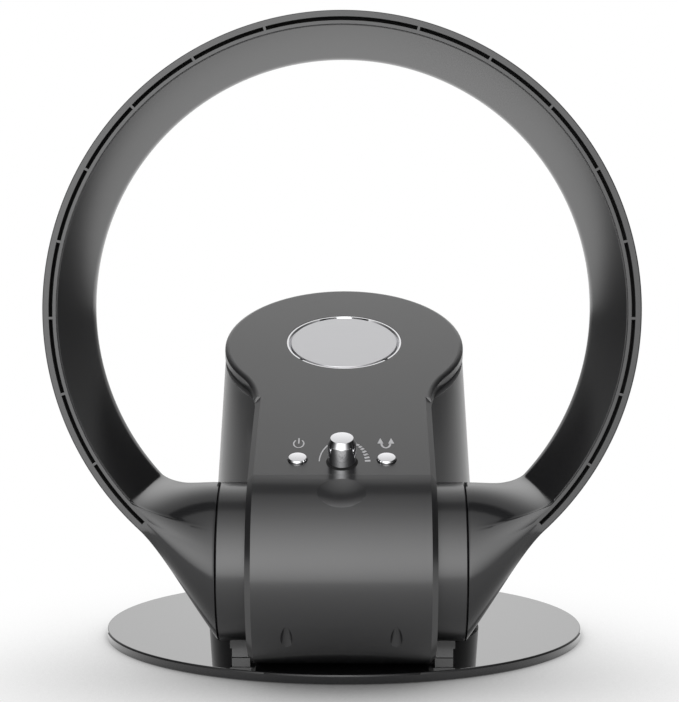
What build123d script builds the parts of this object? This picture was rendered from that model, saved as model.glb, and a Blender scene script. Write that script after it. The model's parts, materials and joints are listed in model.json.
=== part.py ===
"""Bladeless fan: an air ring on two hollow legs tilts on a barrel-fronted body that swings on a round base.

Frame: origin at the base disc's centre on the surface it stands on, X to the right, Y to the back, Z up.
All lengths are millimetres, all angles degrees.
"""
from build123d import *
import os
from math import sin, cos, tan, acos, radians, sqrt, pi

os.makedirs("parts", exist_ok=True)

# ------------------------------------------------------------------ driving dimensions
# Base
disc_radius = 165.5
disc_underside = 0.6          # height of the disc's underside, carried on the rubber feet
disc_top = 6.5
disc_skin = 2.2               # thickness of the disc over its underside pocket
disc_rim = 15.0               # solid rim round the pocket
disc_slant_in = 0.8           # how far the rim's slanting edge runs in and down
disc_slant_down = 1.2
disc_undercut = 0.4
ballast_thickness = 2.6
ballast_bore = 30.0
foot_radius = 5.0
foot_count = 8
foot_start = 22.5             # turn of the first foot
foot_sink = 1.5               # how deep a foot is let into the rim

# Swivel between base and body
post_radius = 14.0
post_bore = 9.0
post_flange = 26.0
sleeve_radius = 18.0
sleeve_height = 18.4
nut_radius = 20.0
nut_height = 4.0
glide_inner = 55.0
glide_outer = 68.0
running_gap = 0.08            # radial clearance of every turning or sliding fit
seat_gap = 0.2                # clearance between pieces that sit in each other

# Oscillation gears
gear_module = 1.25
gear_teeth = 48
pinion_teeth = 12
gear_width = 6.0
gear_backlash = 0.3
gear_hole_circle = 21.0       # lightening holes of the fixed gear
gear_hole_radius = 3.5
swing_motor_radius = 14.0
swing_motor_height = 19.0
swing_shaft_radius = 2.5
swing_motor_ear = 7.0         # how far the motor's two mounting ears stand out
swing_ear_width = 9.0
swing_ear_offset = 4.0
swing_ear_thickness = 2.0

# Body
body_gap = 2.0                # height of the body over the disc
hub_y = -135.0                # tilt axis, parallel to X
hub_z = 72.0
body_half_width = 58.0
edge_bevel = 3.6
side_wall = 6.5
barrel_wall = 5.5
floor_thickness = 3.0
floor_front = 20.0            # how far behind the tilt axis the floor plate starts
tower_foot_radius = 94.2
tower_draft = 3.73
tower_y = -2.5                # the tower's own axis, a little in front of the swing axis
tower_wall = 3.5
deck_slope = 24.6
cover_thickness = 7.0
cover_radius = 82.8           # half width of the cover's round part
cover_reach = 77.0            # how far the round part reaches back from the swing axis
cover_shoulder = 58.0
cover_edge_radius = 3.0
cover_neck_end = -72.0        # where the straight neck meets the shoulders

# Tilt joint
collar_radius = 49.5
collar_end = 76.2             # outer end of each collar, from the middle plane
seam = 0.6                    # open seam between collar and leg
spigot_radius = 44.0
trunnion_radius = 36.0
trunnion_wall = 3.0
trunnion_socket = 6.0         # how far a trunnion reaches into its leg
trunnion_lip = 2.0
seal_width = 3.0
seal_depth = 1.5

# Air ring
ring_radius = 180.0           # outer wall at the front lip
ring_depth = 90.0
ring_z = 230.0                # height of the ring's centre
ring_bulge = 1.6              # how far the outer wall swells between front and back
ring_taper = 1.5              # how much smaller the outer wall is at the back
lip_width = 8.5
liner_front_inset = 8.8       # inner wall below the outer lip, at the front and at the back
liner_rear_inset = 20.7
rear_round = 8.0              # depth of the rounded rear edge
ring_wall = 2.5
leg_angle = 139.0             # where the ring turns into the legs, from its top
leg_wall = 2.9
leg_overlap = 0.6             # how far a leg reaches into the ring it is moulded to
weld_step = 0.06              # step from the ring's skin to the leg's at that place
slot_inset = 5.0              # slot's middle below the outer lip
slot_width = 2.4
slot_pitch = 15.2             # angle from one bridge to the next
slot_bridge = 1.5
bridges_each_side = 9

# Fan unit
fan_z = 98.0
shroud_side_gap = 2.5         # between the shroud and the neck's inner walls
shroud_wall = 2.5
shroud_front = -63.0
shroud_back = 22.0
bulkhead_thickness = 3.0
vane_count = 7
vane_thickness = 2.0
motor_radius = 22.0
motor_front = -52.0
motor_back = -12.0
motor_cup_wall = 2.0
impeller_tip_gap = 1.0
impeller_front = -8.0
impeller_back = 18.0
impeller_nose_radius = 12.0
blade_count = 9
blade_thickness = 1.6
blade_chord = 26.0
blade_root_stagger = 35.0
blade_tip_stagger = 58.0
impeller_shaft_radius = 3.0
blade_middle = 5.0            # middle of the blades along the shaft

# Controls on the deck, measured up the slope from the deck's front edge
knob_station = 15.0
knob_radius = 8.5
knob_height = 17.3
knob_gap = 0.6
knob_chamfer = 2.4
stem_radius = 3.0
button_station = 18.0
button_offset = 27.7
button_radius = 6.0
button_hole_gap = 0.3
button_rise = 1.8
button_travel = 1.0
button_flange = 1.2
sensor_side = 17.0
switch_side = 8.0
board_width = 92.0
board_length = 34.0
board_thickness = 1.6
board_depth = 14.4            # board's upper face below the deck surface
board_boss_radius = 3.5
board_boss_bore = 1.3
board_boss_inset = 4.0
cap_radius = 36.9
bezel_radius = 39.8
cap_recess = 2.5
notch_angle = 48.0            # pry notches of the bezel, from the downhill direction
notch_width = 3.0

# Finger scoop below the knob and the two screw pockets in the barrel
scoop_angle = 50.5            # above the horizontal, seen from the tilt axis
scoop_radius = 40.0
scoop_depth = 2.9
pocket_radius = 3.65
pocket_offset = 33.2
pocket_angle = -38.3
pocket_lean = 13.0            # lean of the pocket's axis from the vertical
pocket_depth = 15.0
pocket_screw = 3.0            # height of the screw head at the pocket's end

# Intake at the back of the tower and the inlet socket below it
intake_half_width = 42.0
intake_low = 48.0
intake_high = 150.0
intake_rows = 12
intake_columns = 5
intake_bar = 4.0
socket_width = 20.0
socket_height = 13.0
socket_z = 29.0
socket_length = 18.0
socket_recess = (14.6, 8.3, 12.0)     # width, height and depth of the figure-8 recess
socket_pin_radius = 1.2
socket_pin_spacing = 8.6

# Small blocks that steady the body on the disc
glide_block_width = 14.0
glide_block_depth = 14.0
glide_block_top = 22.3
glide_block_foot = 12.7
glide_block_inset = 54.5      # middle of each block behind the disc's front edge
glide_pad_inset = 1.2         # the pad below each block is this much smaller all round
glide_pad_gap = 0.3           # between pad and disc

# ------------------------------------------------------------------ derived places
body_floor = disc_top + body_gap
barrel_radius = hub_z - body_floor
deck_front_y = hub_y - barrel_radius * sin(radians(deck_slope))
deck_front_z = hub_z + barrel_radius * cos(radians(deck_slope))
ring_front_y = hub_y - ring_depth / 2
ring_back_y = hub_y + ring_depth / 2
leg_face = collar_end + seam
leg_root = ring_radius * sin(radians(leg_angle))
ring_end_angle = leg_angle + 9.0
ring_rear_radius = ring_radius - ring_taper
liner_front_radius = ring_radius - liner_front_inset
liner_rear_radius = ring_radius - liner_rear_inset
slot_radius = ring_radius - slot_inset
shroud_radius = body_half_width - side_wall - shroud_side_gap
glide_block_y = glide_block_inset - disc_radius
floor_top = body_floor + floor_thickness

deck = Plane(
    origin=(0, deck_front_y, deck_front_z),
    x_dir=(1, 0, 0),
    z_dir=(0, -sin(radians(deck_slope)), cos(radians(deck_slope))),
)
hub = Plane(origin=(0, hub_y, hub_z), x_dir=(0, 1, 0), z_dir=(1, 0, 0))
fan = Plane(origin=(0, 0, fan_z), x_dir=(1, 0, 0), z_dir=(0, 1, 0))
ring_face = Plane(origin=(0, ring_front_y, ring_z), x_dir=(1, 0, 0), z_dir=(0, -1, 0))
ring_axis = Axis((0, 0, ring_z), (0, 1, 0))
upward = (Align.CENTER, Align.CENTER, Align.MIN)


def deck_height(y):
    """Height of the deck surface over a place y."""
    return deck_front_z + (y - deck_front_y) * tan(radians(deck_slope))


def deck_station(y):
    """Distance up the slope from the deck's front edge to a place y."""
    return (y - deck_front_y) / cos(radians(deck_slope))


def tower_radius(z):
    """Outer radius of the drafted tower at a height z."""
    return tower_foot_radius - (z - body_floor) * tan(radians(tower_draft))


def section_plane(x):
    """Upright plane across the tilt axis whose own coordinates are Y and Z."""
    return Plane(origin=(x, 0, 0), x_dir=(0, 1, 0), z_dir=(1, 0, 0))


def ring_plane(angle):
    """Plane through the ring's axis: own x is Y, own y is the distance from the axis."""
    turn = radians(angle)
    return Plane(origin=(0, 0, ring_z), x_dir=(0, 1, 0), z_dir=(cos(turn), 0, -sin(turn)))


def save(piece, label):
    """Name a finished piece and write it."""
    piece.part.label = label
    export_step(piece.part, f"parts/{label}.step")


def gear_points(teeth, phase):
    """Corners of a spur gear with 20 degree involute flanks, each flank through root, pitch and tip."""
    pitch = gear_module * teeth / 2
    base = pitch * cos(radians(20))
    tip = pitch + gear_module
    root = pitch - 1.25 * gear_module
    pressure_roll = tan(radians(20)) - radians(20)

    def half_angle(radius):
        slope = acos(base / max(radius, base))
        thickness = pi / (2 * teeth) - gear_backlash / (4 * pitch)
        return thickness + pressure_roll - (tan(slope) - slope)

    corners = []
    for tooth in range(teeth):
        middle = radians(phase) + 2 * pi * tooth / teeth
        for radius, side in ((root, -1), (pitch, -1), (tip, -1), (tip, 1), (pitch, 1), (root, 1)):
            angle = middle + side * half_angle(radius)
            corners.append((radius * cos(angle), radius * sin(angle)))
    return corners


# ------------------------------------------------------------------ base
pocket_top = disc_top - disc_skin
pocket_edge = disc_radius - disc_rim

with BuildPart() as base_disc:
    with BuildSketch(Plane.XZ):
        with BuildLine():
            Polyline(
                (post_radius + seat_gap, pocket_top),
                (post_radius + seat_gap, disc_top),
                (disc_radius - disc_slant_in, disc_top),
                (disc_radius, disc_top - disc_slant_down),
                (disc_radius - disc_undercut, disc_underside),
                (pocket_edge, disc_underside),
                (pocket_edge, pocket_top),
                close=True,
            )
        make_face()
    revolve(axis=Axis.Z)
    fillet(base_disc.edges().group_by(Axis.Z)[-1].sort_by(SortBy.RADIUS)[-1], radius=0.8)
    with Locations((0, 0, disc_underside)):
        with PolarLocations(disc_radius - disc_rim / 2, foot_count, start_angle=foot_start):
            Cylinder(foot_radius + seat_gap, foot_sink, align=upward, mode=Mode.SUBTRACT)
save(base_disc, "base_disc")

with BuildPart() as base_feet:
    with PolarLocations(disc_radius - disc_rim / 2, foot_count, start_angle=foot_start):
        Cylinder(foot_radius, disc_underside + foot_sink, align=upward)
    chamfer(base_feet.edges().group_by(Axis.Z)[0], length=0.3)
save(base_feet, "base_feet")

with BuildPart() as base_weight:
    with BuildSketch(Plane.XY.offset(pocket_top - ballast_thickness - seat_gap / 2)):
        Circle(pocket_edge - 1.0)
        Circle(ballast_bore, mode=Mode.SUBTRACT)
    extrude(amount=ballast_thickness)
save(base_weight, "base_weight")

flange_thickness = 2.7
flange_underside = pocket_top - flange_thickness
screw_circle = 20.0
screw_head_radius = 3.4
screw_head = 1.2
sleeve_top = body_floor + sleeve_height
nut_floor = sleeve_top + 0.1
gear_floor = nut_floor + nut_height
post_top = gear_floor + gear_width

with BuildPart() as swivel_post:
    with BuildSketch(Plane.XY.offset(flange_underside)):
        Circle(post_flange)
    extrude(amount=flange_thickness)
    with BuildSketch(Plane.XY.offset(flange_underside)):
        Circle(post_radius)
    extrude(amount=post_top - flange_underside)
    with BuildSketch(Plane.XY.offset(flange_underside)):
        Circle(post_bore)
    extrude(amount=post_top - flange_underside, mode=Mode.SUBTRACT)
    with BuildSketch(Plane.XY.offset(flange_underside)):
        with PolarLocations(screw_circle, 4, start_angle=45):
            Circle(2.0)
    extrude(amount=flange_thickness, mode=Mode.SUBTRACT)
    with BuildSketch(Plane.XY.offset(flange_underside)):
        with PolarLocations(screw_circle, 4, start_angle=45):
            Circle(screw_head_radius + seat_gap)
    extrude(amount=screw_head, mode=Mode.SUBTRACT)
    chamfer(swivel_post.edges().group_by(Axis.Z)[-1], length=0.8)
save(swivel_post, "swivel_post")

with BuildPart() as base_screws:
    with Locations((0, 0, flange_underside)):
        with PolarLocations(screw_circle, 4, start_angle=45):
            Cylinder(screw_head_radius, screw_head, align=upward)
            Cylinder(1.8, flange_thickness, align=upward)
save(base_screws, "base_screws")

with BuildPart() as centre_pad:
    Cylinder(post_flange, flange_underside, align=upward)
save(centre_pad, "centre_pad")

with BuildPart() as glide_ring:
    with BuildSketch(Plane.XY.offset(disc_top)):
        Circle(glide_outer)
        Circle(glide_inner, mode=Mode.SUBTRACT)
    extrude(amount=body_gap - 0.1)
save(glide_ring, "glide_ring")

with BuildPart() as post_nut:
    with BuildSketch(Plane.XY.offset(nut_floor)):
        RegularPolygon(nut_radius, 6)
        Circle(post_radius + 0.1, mode=Mode.SUBTRACT)
    extrude(amount=nut_height - 0.1)
save(post_nut, "post_nut")

with BuildPart() as fixed_gear:
    with BuildSketch(Plane.XY.offset(gear_floor)):
        with BuildLine():
            Polyline(*gear_points(gear_teeth, 90), close=True)
        make_face()
        Circle(post_radius + 0.1, mode=Mode.SUBTRACT)
        with PolarLocations(gear_hole_circle, 6):
            Circle(gear_hole_radius, mode=Mode.SUBTRACT)
    extrude(amount=gear_width)
save(fixed_gear, "fixed_gear")

# ------------------------------------------------------------------ body housing
with BuildPart() as neck_form:
    with BuildSketch(Plane.YZ):
        with BuildLine():
            front = CenterArc((hub_y, hub_z), barrel_radius, 90 + deck_slope, 180 - deck_slope)
            Polyline(front @ 0, (0, deck_height(0)), (0, body_floor), front @ 1)
        make_face()
    extrude(amount=body_half_width, both=True)
    chamfer(neck_form.faces().filter_by(Axis.X).edges(), length=edge_bevel)

with BuildPart() as tower_form:
    with BuildSketch(Plane((0, tower_y, body_floor))):
        Circle(tower_foot_radius)
    extrude(amount=deck_height(tower_foot_radius) - body_floor, taper=tower_draft)
    split(bisect_by=deck.offset(-cover_thickness), keep=Keep.BOTTOM)

with BuildPart() as neck_hollow:
    with BuildSketch(Plane.YZ):
        with BuildLine():
            inner_radius = barrel_radius - barrel_wall
            inner_front = CenterArc((hub_y, hub_z), inner_radius, 90 + deck_slope, 180 - deck_slope)
            Polyline(
                inner_front @ 0,
                (0, deck_height(0) - barrel_wall / cos(radians(deck_slope))),
                (0, body_floor - 1),
                (hub_y + floor_front, body_floor - 1),
                (hub_y + floor_front, body_floor + barrel_wall),
                inner_front @ 1,
            )
        make_face()
    extrude(amount=body_half_width - side_wall, both=True)

with BuildPart() as tower_hollow:
    with BuildSketch(Plane((0, tower_y, body_floor))):
        Circle(tower_foot_radius - tower_wall)
    extrude(amount=deck_height(tower_foot_radius) - body_floor, taper=tower_draft)


def cover_outline(gap):
    """Keyhole outline of the deck in plan, grown by a gap; its round part is a little wider than deep."""
    half_width, reach, neck = cover_radius + gap, cover_reach + gap, body_half_width + gap
    with BuildSketch(Plane.XY.offset(body_floor)) as outline:
        Ellipse(half_width, reach)
        with Locations((0, deck_front_y - gap)):
            Rectangle(2 * neck, -deck_front_y, align=(Align.CENTER, Align.MIN))
        meeting_y = -reach * sqrt(1 - (neck / half_width) ** 2)
        corners = outline.vertices().filter_by(lambda v: abs(v.Y - meeting_y) < 1)
        fillet(corners, radius=cover_shoulder - gap)
    return outline.sketch


with BuildPart() as cover_pocket:
    extrude(cover_outline(seat_gap), amount=deck_height(cover_radius))
    split(bisect_by=deck.offset(-cover_thickness), keep=Keep.TOP)

scoop_reach = barrel_radius + scoop_radius - scoop_depth
scoop_centre = (
    0,
    hub_y - scoop_reach * cos(radians(scoop_angle)),
    hub_z + scoop_reach * sin(radians(scoop_angle)),
)
pocket_mouth_y = hub_y - barrel_radius * cos(radians(pocket_angle))
pocket_mouth_z = hub_z + barrel_radius * sin(radians(pocket_angle))
pocket_axis = (0, -sin(radians(pocket_lean)), cos(radians(pocket_lean)))
pocket_planes = [
    Plane(origin=(side * pocket_offset, pocket_mouth_y, pocket_mouth_z), x_dir=(1, 0, 0), z_dir=pocket_axis)
    for side in (-1, 1)
]

with BuildPart() as screw_boss:
    for plane in pocket_planes:
        with BuildSketch(plane.offset(-pocket_depth)):
            Circle(pocket_radius + 3.0)
        extrude(amount=2 * pocket_depth + 8.0)
    add(neck_form.part, mode=Mode.INTERSECT)

with BuildPart() as housing_shell:
    add(neck_form.part)
    add(tower_form.part)
    add(neck_hollow.part, mode=Mode.SUBTRACT)
    add(tower_hollow.part, mode=Mode.SUBTRACT)
    add(cover_pocket.part, mode=Mode.SUBTRACT)
    add(screw_boss.part)
    for plane in pocket_planes:
        with BuildSketch(plane.offset(-2 * pocket_depth)):
            Circle(pocket_radius)
        extrude(amount=3 * pocket_depth, mode=Mode.SUBTRACT)
    with Locations(scoop_centre):
        Sphere(scoop_radius, mode=Mode.SUBTRACT)
    with BuildSketch(hub.offset(-body_half_width)):
        Circle(spigot_radius)
    extrude(amount=2 * body_half_width, mode=Mode.SUBTRACT)
    with BuildSketch(Plane.XZ.offset(-tower_foot_radius - 5)):
        with Locations((0, (intake_low + intake_high) / 2)):
            RectangleRounded(2 * intake_half_width, intake_high - intake_low, 8.0)
        with Locations((0, socket_z)):
            SlotOverall(socket_width + 2 * seat_gap, socket_height + 2 * seat_gap)
    extrude(amount=40, mode=Mode.SUBTRACT)
save(housing_shell, "housing_shell")


# ------------------------------------------------------------------ deck cover and what hangs under it
cap_station = deck_station(0)
button_places = [(side * button_offset, button_station) for side in (-1, 1)]
board_middle = board_length / 2 + 2.0
board_corners = [
    (side * (board_width / 2 - board_boss_inset), board_middle + end * (board_length / 2 - board_boss_inset))
    for side in (-1, 1)
    for end in (-1, 1)
]

deck_normal = Axis((0, 0, 0), deck.z_dir)
with BuildPart() as cover_neck:
    with BuildSketch(Plane.YZ):
        below = cover_thickness / cos(radians(deck_slope))
        Polygon(
            (deck_front_y, deck_front_z),
            (cover_neck_end, deck_height(cover_neck_end)),
            (cover_neck_end, deck_height(cover_neck_end) - below),
            (deck_front_y, deck_front_z - below),
            align=None,
        )
    extrude(amount=body_half_width, both=True)
    neck_edges = cover_neck.faces().sort_by(deck_normal)[-1].edges().filter_by(Axis.X, reverse=True)
    chamfer(neck_edges, length=edge_bevel)

with BuildPart() as top_cover:
    extrude(cover_outline(0), amount=deck_height(cover_radius))
    split(bisect_by=deck, keep=Keep.BOTTOM)
    split(bisect_by=deck.offset(-cover_thickness), keep=Keep.TOP)
    deck_face = top_cover.faces().filter_by(deck_normal).sort_by(deck_normal)[-1]
    fillet(deck_face.edges().filter_by(Axis.X, reverse=True), radius=cover_edge_radius)
    split(bisect_by=Plane.XZ.offset(-cover_neck_end), keep=Keep.BOTTOM)
    add(cover_neck.part)
    with BuildSketch(deck.offset(-cap_recess)):
        with Locations((0, cap_station)):
            Circle(bezel_radius + seat_gap)
    extrude(amount=cap_recess + 1, mode=Mode.SUBTRACT)
    with BuildSketch(deck.offset(-cover_thickness)):
        with Locations(*button_places):
            Circle(button_radius + button_hole_gap)
        with Locations((0, knob_station)):
            Circle(stem_radius + running_gap)
    extrude(amount=cover_thickness + 1, mode=Mode.SUBTRACT)
    with BuildSketch(deck.offset(-board_depth)):
        with Locations(*board_corners):
            Circle(board_boss_radius)
            Circle(board_boss_bore, mode=Mode.SUBTRACT)
    extrude(amount=board_depth - cover_thickness)
save(top_cover, "top_cover")

with BuildPart() as cap_plate:
    with BuildSketch(deck.offset(-cap_recess)):
        with Locations((0, cap_station)):
            Circle(cap_radius)
    extrude(amount=cap_recess - 0.4)
    chamfer(cap_plate.edges().sort_by(deck_normal)[-1], length=0.3)
save(cap_plate, "cap_plate")

with BuildPart() as cap_bezel:
    with BuildSketch(deck.offset(-cap_recess)):
        with Locations((0, cap_station)):
            Circle(bezel_radius)
            Circle(cap_radius + seat_gap, mode=Mode.SUBTRACT)
    extrude(amount=cap_recess - 0.2)
    chamfer(cap_bezel.edges().group_by(deck_normal)[-1].sort_by(SortBy.RADIUS)[0], length=1.6)
    with BuildSketch(deck.offset(-cap_recess)):
        for side in (-1, 1):
            angle = -90 + side * notch_angle
            notch_middle = (cap_radius + bezel_radius) / 2
            place = (notch_middle * cos(radians(angle)), cap_station + notch_middle * sin(radians(angle)))
            with Locations(Location((*place, 0), (0, 0, angle))):
                Rectangle(2 * (bezel_radius - cap_radius), notch_width)
    extrude(amount=cap_recess, mode=Mode.SUBTRACT)
save(cap_bezel, "cap_bezel")

with BuildPart() as control_board:
    with BuildSketch(deck.offset(-board_depth - board_thickness)):
        with Locations((0, board_middle)):
            RectangleRounded(board_width, board_length, 2.0)
        with Locations(*board_corners):
            Circle(1.5, mode=Mode.SUBTRACT)
    extrude(amount=board_thickness)
save(control_board, "control_board")

with BuildPart() as dial_sensor:
    with BuildSketch(deck.offset(-board_depth)):
        with Locations((0, knob_station)):
            RectangleRounded(sensor_side, sensor_side, 1.5)
            Circle(stem_radius + running_gap, mode=Mode.SUBTRACT)
    extrude(amount=board_depth - cover_thickness - 0.3)
save(dial_sensor, "dial_sensor")

key_foot = cover_thickness + seat_gap + button_flange
switch_top = key_foot + button_travel + seat_gap
for label, place in zip(("power_switch", "swing_switch"), button_places):
    with BuildPart() as key_switch:
        with BuildSketch(deck.offset(-board_depth)):
            with Locations(place):
                RectangleRounded(switch_side, switch_side, 0.6)
        extrude(amount=board_depth - switch_top - 1.0)
        with BuildSketch(deck.offset(-board_depth)):
            with Locations(place):
                Circle(2.0)
        extrude(amount=board_depth - switch_top)
    save(key_switch, label)

for label, place in zip(("power_button", "swing_button"), button_places):
    with BuildPart() as button:
        with BuildSketch(deck.offset(-key_foot)):
            with Locations(place):
                Circle(button_radius + 1.2)
        extrude(amount=button_flange)
        with BuildSketch(deck.offset(-key_foot)):
            with Locations(place):
                Circle(button_radius)
        extrude(amount=key_foot + button_rise)
        fillet(button.edges().sort_by(deck_normal)[-1], radius=0.6)
    save(button, label)

with BuildPart() as speed_knob:
    with BuildSketch(deck.offset(knob_gap)):
        with Locations((0, knob_station)):
            Circle(knob_radius)
    extrude(amount=knob_height - knob_gap)
    chamfer(speed_knob.edges().sort_by(deck_normal)[-1], length=knob_chamfer)
    with BuildSketch(deck.offset(knob_gap)):
        with Locations((0, knob_station)):
            Circle(stem_radius)
    extrude(amount=8.0, mode=Mode.SUBTRACT)
    with BuildSketch(deck.offset(knob_gap + 3.2)):
        with Locations((0, knob_station)):
            Circle(knob_radius + 1)
            Circle(knob_radius - 0.4, mode=Mode.SUBTRACT)
    extrude(amount=0.7, mode=Mode.SUBTRACT)
save(speed_knob, "speed_knob")

with BuildPart() as knob_stem:
    with BuildSketch(deck.offset(-board_depth + 0.3)):
        with Locations((0, knob_station)):
            Circle(stem_radius)
    extrude(amount=board_depth - 0.3 + knob_gap + 8.0)
save(knob_stem, "knob_stem")

# ------------------------------------------------------------------ floor, swivel sleeve, oscillation drive
with BuildPart() as floor_plate:
    with BuildSketch(Plane.XY.offset(body_floor)):
        with Locations((0, tower_y)):
            Circle(tower_foot_radius - tower_wall - seat_gap)
        with Locations((0, hub_y + floor_front + seat_gap)):
            Rectangle(
                2 * (body_half_width - side_wall - seat_gap),
                -hub_y - floor_front,
                align=(Align.CENTER, Align.MIN),
            )
        Circle(sleeve_radius + 0.1, mode=Mode.SUBTRACT)
    extrude(amount=floor_thickness)
save(floor_plate, "floor_plate")

with BuildPart() as swivel_sleeve:
    with BuildSketch(Plane.XY.offset(body_floor)):
        Circle(sleeve_radius)
    extrude(amount=sleeve_height)
    with BuildSketch(Plane.XY.offset(floor_top)):
        Circle(sleeve_radius + 4.0)
    extrude(amount=3.0)
    with BuildSketch(Plane.XY.offset(body_floor)):
        Circle(post_radius + running_gap)
    extrude(amount=sleeve_height, mode=Mode.SUBTRACT)
save(swivel_sleeve, "swivel_sleeve")

gear_centres = gear_module * (gear_teeth + pinion_teeth) / 2 + 0.05
with BuildPart() as swing_motor:
    with BuildSketch(Plane.XY.offset(floor_top)):
        with Locations((0, gear_centres)):
            Circle(swing_motor_radius)
    extrude(amount=swing_motor_height)
    fillet(swing_motor.edges().group_by(Axis.Z)[-1], radius=1.0)
    with BuildSketch(Plane.XY.offset(floor_top)):
        with Locations((0, gear_centres + swing_ear_offset)):
            Rectangle(2 * (swing_motor_radius + swing_motor_ear), swing_ear_width)
    extrude(amount=swing_ear_thickness)
    with BuildSketch(Plane.XY.offset(floor_top + 8)):
        with Locations((0, gear_centres)):
            Circle(swing_shaft_radius + running_gap)
    extrude(amount=swing_motor_height, mode=Mode.SUBTRACT)
save(swing_motor, "swing_motor")

with BuildPart() as swing_pinion:
    with BuildSketch(Plane((0, gear_centres, gear_floor + 0.2))):
        with BuildLine():
            Polyline(*gear_points(pinion_teeth, 90 + 180 / pinion_teeth), close=True)
        make_face()
    extrude(amount=gear_width - 0.4)
    with BuildSketch(Plane.XY.offset(floor_top + 9)):
        with Locations((0, gear_centres)):
            Circle(swing_shaft_radius)
    extrude(amount=gear_floor + gear_width + 1 - floor_top - 9)
save(swing_pinion, "swing_pinion")

with BuildPart() as foot_glides:
    for side in (-1, 1):
        near = side * (body_half_width + glide_block_width / 2 + 0.05)
        with Locations((near, glide_block_y, glide_block_foot)):
            Box(glide_block_width, glide_block_depth, glide_block_top - glide_block_foot, align=upward)
        with Locations((near, glide_block_y, disc_top + glide_pad_gap)):
            Box(
                glide_block_width - 2 * glide_pad_inset,
                glide_block_depth - 2 * glide_pad_inset,
                glide_block_foot - disc_top - glide_pad_gap,
                align=upward,
            )
    chamfer(foot_glides.edges().group_by(Axis.Z)[-1], length=0.5)
save(foot_glides, "foot_glides")

socket_face = Plane.XZ.offset(-tower_radius(socket_z) - tower_y + 0.3)
with BuildPart() as inlet_socket:
    with BuildSketch(socket_face):
        with Locations((0, socket_z)):
            SlotOverall(socket_width, socket_height)
    extrude(amount=socket_length)
    with BuildSketch(socket_face):
        with Locations((0, socket_z)):
            SlotOverall(socket_recess[0], socket_recess[1])
    extrude(amount=socket_recess[2], mode=Mode.SUBTRACT)
    with BuildSketch(socket_face.offset(1.5)):
        with Locations((0, socket_z)):
            with GridLocations(socket_pin_spacing, 1, 2, 1):
                Circle(socket_pin_radius)
    extrude(amount=socket_recess[2])
save(inlet_socket, "inlet_socket")

with BuildPart() as intake_grille:
    with BuildSketch(Plane((0, tower_y, body_floor))):
        Circle(tower_foot_radius - 0.3)
    extrude(amount=intake_high, taper=tower_draft)
    with BuildSketch(Plane((0, tower_y, body_floor))):
        Circle(tower_foot_radius - tower_wall + 0.5)
    extrude(amount=intake_high, taper=tower_draft, mode=Mode.SUBTRACT)
    intake_middle = (intake_low + intake_high) / 2
    intake_tall = intake_high - intake_low
    row_pitch = (intake_tall - intake_bar) / intake_rows
    column_pitch = (2 * intake_half_width - intake_bar) / intake_columns
    with BuildSketch(Plane.XZ.offset(-tower_foot_radius - 5)):
        with Locations((0, intake_middle)):
            RectangleRounded(2 * (intake_half_width - seat_gap), intake_tall - 2 * seat_gap, 8.0)
    extrude(amount=40, mode=Mode.INTERSECT)
    with BuildSketch(Plane.XZ.offset(-tower_foot_radius - 5)):
        with Locations((0, intake_middle)):
            with GridLocations(column_pitch, row_pitch, intake_columns, intake_rows):
                Rectangle(column_pitch - intake_bar, row_pitch - intake_bar)
    extrude(amount=40, mode=Mode.SUBTRACT)
save(intake_grille, "intake_grille")

with BuildPart() as housing_screws:
    for plane in pocket_planes:
        with BuildSketch(plane.offset(pocket_depth - pocket_screw - seat_gap)):
            Circle(pocket_radius - 0.35)
        extrude(amount=pocket_screw)
save(housing_screws, "housing_screws")

# ------------------------------------------------------------------ fan unit
bulkhead_front = shroud_front - bulkhead_thickness
bulkhead_top = deck_height(bulkhead_front) - cover_thickness / cos(radians(deck_slope)) - 0.4
with BuildPart() as bulkhead:
    with Locations((0, bulkhead_front, floor_top + seat_gap)):
        Box(
            2 * (body_half_width - side_wall - 0.4),
            bulkhead_thickness,
            bulkhead_top - floor_top - seat_gap,
            align=(Align.CENTER, Align.MIN, Align.MIN),
        )
    with BuildSketch(fan.offset(bulkhead_front)):
        Circle(shroud_radius - shroud_wall)
    extrude(amount=bulkhead_thickness, mode=Mode.SUBTRACT)
save(bulkhead, "bulkhead")

with BuildPart() as fan_shroud:
    with BuildSketch(fan.offset(shroud_front)):
        Circle(shroud_radius)
        Circle(shroud_radius - shroud_wall, mode=Mode.SUBTRACT)
    extrude(amount=shroud_back - shroud_front)
    cup_radius = motor_radius + 0.2 + motor_cup_wall
    with BuildSketch(fan.offset(motor_front - 3)):
        Circle(cup_radius)
    extrude(amount=motor_back - motor_front)
    with BuildSketch(fan.offset(motor_front - 0.2)):
        Circle(motor_radius + 0.2)
    extrude(amount=motor_back - motor_front, mode=Mode.SUBTRACT)
    with BuildSketch(fan.offset(motor_front)):
        with PolarLocations((cup_radius + shroud_radius - shroud_wall) / 2, vane_count):
            Rectangle(shroud_radius - shroud_wall - cup_radius + 1.0, vane_thickness)
    extrude(amount=motor_back - motor_front - 6)
save(fan_shroud, "fan_shroud")

with BuildPart() as fan_motor:
    with BuildSketch(fan.offset(motor_front)):
        Circle(motor_radius)
    extrude(amount=motor_back - motor_front)
    chamfer(fan_motor.edges().group_by(Axis.Y)[-1], length=2.0)
    with BuildSketch(fan.offset(motor_front + 6)):
        Circle(impeller_shaft_radius + running_gap)
    extrude(amount=motor_back - motor_front, mode=Mode.SUBTRACT)
save(fan_motor, "fan_motor")

with BuildPart() as impeller_shaft:
    with BuildSketch(fan.offset(motor_front + 7)):
        Circle(impeller_shaft_radius)
    extrude(amount=impeller_back + 2 - motor_front - 7)
save(impeller_shaft, "impeller_shaft")


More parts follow.
